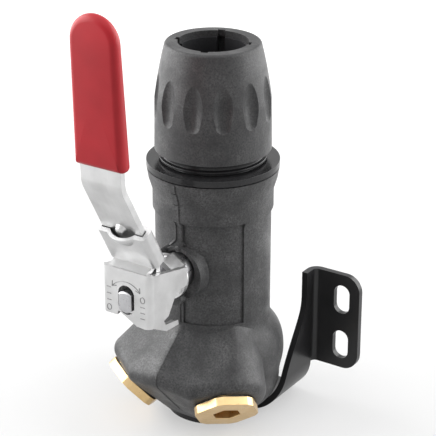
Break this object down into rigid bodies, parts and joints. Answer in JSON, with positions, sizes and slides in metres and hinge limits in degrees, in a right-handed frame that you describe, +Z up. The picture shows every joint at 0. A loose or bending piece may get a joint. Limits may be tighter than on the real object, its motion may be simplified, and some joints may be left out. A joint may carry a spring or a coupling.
{
  "type": "wall-mounted ball valve bracket",
  "caption": "Wall-mounted ball valve: push-fit pipe socket above, locking quarter-turn lever, plugged angled outlets below and a bent steel bracket with slotted wings.",
  "frame": {"origin": "middle of the bracket's underside, on the pipe axis", "axes": "+Z up along the pipe axis, +Y towards the wall, the stem and lever on the -Y side"},
  "size_m": [0.101, 0.1123, 0.1885],
  "materials": {
    "body_plastic": "fine-grained charcoal moulding",
    "nut_plastic": "fine-grained charcoal moulding",
    "ring_plastic": "smooth black moulding",
    "seat_ptfe": "smooth white",
    "seal_rubber": "matte black",
    "brass": "turned",
    "plug_brass": "turned, soft sheen",
    "ball_chrome": "polished",
    "stem_steel": "turned",
    "stainless": "satin",
    "lever_steel": "satin",
    "lock_steel": "satin, stamped",
    "grip_vinyl": "semi-gloss dipped vinyl",
    "bracket_black": "satin black coating"
  },
  "bodies": {
    "valve": {"valve_body": "body_plastic", "lower_seat": "seat_ptfe", "upper_seat": "seat_ptfe", "seat_retainer": "brass", "connector_housing": "body_plastic", "housing_o_ring": "seal_rubber", "pipe_seal": "seal_rubber", "seal_washer": "ring_plastic", "grip_ring": "stainless", "port_insert_left": "brass", "port_insert_right": "brass", "gland_nut": "stem_steel", "stem_thrust_washer": "seat_ptfe", "stop_plate": "stainless", "stop_plate_nut": "stainless", "bracket_inserts": "brass", "bracket_screws": "stainless", "wall_bracket": "bracket_black"},
    "operator": {"ball": "ball_chrome", "stem": "stem_steel", "stem_o_ring_inner": "seal_rubber", "stem_o_ring_outer": "seal_rubber", "lever": "lever_steel", "lever_grip": "grip_vinyl", "lever_clip": "stainless"},
    "lock": {"lock_slide": "lock_steel"},
    "pipe_release": {"thrust_ring": "ring_plastic"},
    "nut": {"release_nut": "nut_plastic"},
    "right_washer": {"plug_washer_right": "seal_rubber"},
    "right_plug": {"port_plug_right": "plug_brass"},
    "left_washer": {"plug_washer_left": "seal_rubber"},
    "left_plug": {"port_plug_left": "plug_brass"}
  },
  "joints": [
    {"name": "valve_turn", "type": "hinge", "parent": "valve", "child": "operator", "pos_m": [0, -0.03, 0.071], "axis": [0, 1, 0], "range_deg": [0, 90]},
    {"name": "lock_travel", "type": "slide", "parent": "operator", "child": "lock", "axis": [0, -0.4932, 0.8699], "range_m": [-0.0011, 0.0008]},
    {"name": "nut_advance", "type": "slide", "parent": "valve", "child": "pipe_release", "axis": [0, 0, 1], "range_m": [0, 0.006]},
    {"name": "nut_turn", "type": "hinge", "parent": "pipe_release", "child": "nut", "pos_m": [0, 0, 0.135], "axis": [0, 0, 1], "range_deg": [0, 720]},
    {"name": "right_plug_advance", "type": "slide", "parent": "valve", "child": "right_washer", "axis": [0.4989, -0.5444, -0.6743], "range_m": [0, 0.00998]},
    {"name": "right_plug_turn", "type": "hinge", "parent": "right_washer", "child": "right_plug", "pos_m": [0.0215, -0.02347, 0.01614], "axis": [0.4989, -0.5444, -0.6743], "range_deg": [0, 1980]},
    {"name": "left_plug_advance", "type": "slide", "parent": "valve", "child": "left_washer", "axis": [-0.4989, -0.5444, -0.6743], "range_m": [0, 0.00998]},
    {"name": "left_plug_turn", "type": "hinge", "parent": "left_washer", "child": "left_plug", "pos_m": [-0.0215, -0.02347, 0.01614], "axis": [-0.4989, -0.5444, -0.6743], "range_deg": [0, 1980]}
  ],
  "couplings": [
    {"joint": "nut_turn", "follows": "nut_advance", "rad_per_m": 2094.4},
    {"joint": "right_plug_turn", "follows": "right_plug_advance", "rad_per_m": 3463.7},
    {"joint": "left_plug_turn", "follows": "left_plug_advance", "rad_per_m": 3463.7}
  ]
}
